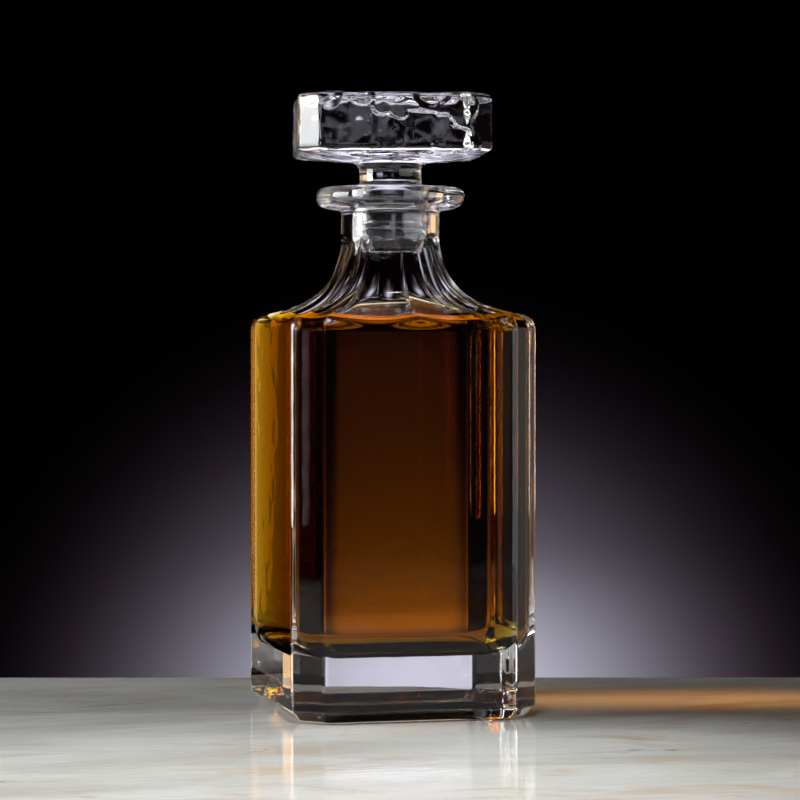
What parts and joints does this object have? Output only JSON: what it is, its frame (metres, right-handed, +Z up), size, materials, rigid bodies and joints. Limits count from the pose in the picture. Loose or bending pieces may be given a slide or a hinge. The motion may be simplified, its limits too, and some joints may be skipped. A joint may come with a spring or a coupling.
{
  "type": "square crystal decanter with stopper",
  "caption": "Square crystal decanter with cut corners, a fluted shoulder and a round lip, filled with amber spirit and closed by a heavy square stopper on a sleeved plug.",
  "frame": {"origin": "middle of the foot, on the surface the decanter stands on", "axes": "+Z up along the neck's axis; -Y out of the side taken as the front; +X to that side's right, seen from the front"},
  "size_m": [0.09, 0.09, 0.2237],
  "materials": {
    "crystal": "clear fire-polished crystal glass",
    "spirit": "clear amber liquid",
    "clear_sleeve": "clear soft plastic, slightly satin"
  },
  "bodies": {
    "vessel": {"decanter": "crystal", "whisky": "spirit"},
    "sleeve": {"seal": "clear_sleeve"},
    "plug": {"stopper": "crystal"}
  },
  "joints": [
    {"name": "stopper_lift", "type": "slide", "parent": "vessel", "child": "sleeve", "axis": [0, 0, 1], "range_m": [0, 0.04]},
    {"name": "stopper_turn", "type": "hinge", "parent": "sleeve", "child": "plug", "pos_m": [0, 0, 0.183], "axis": [0, 0, 1], "continuous": true}
  ]
}
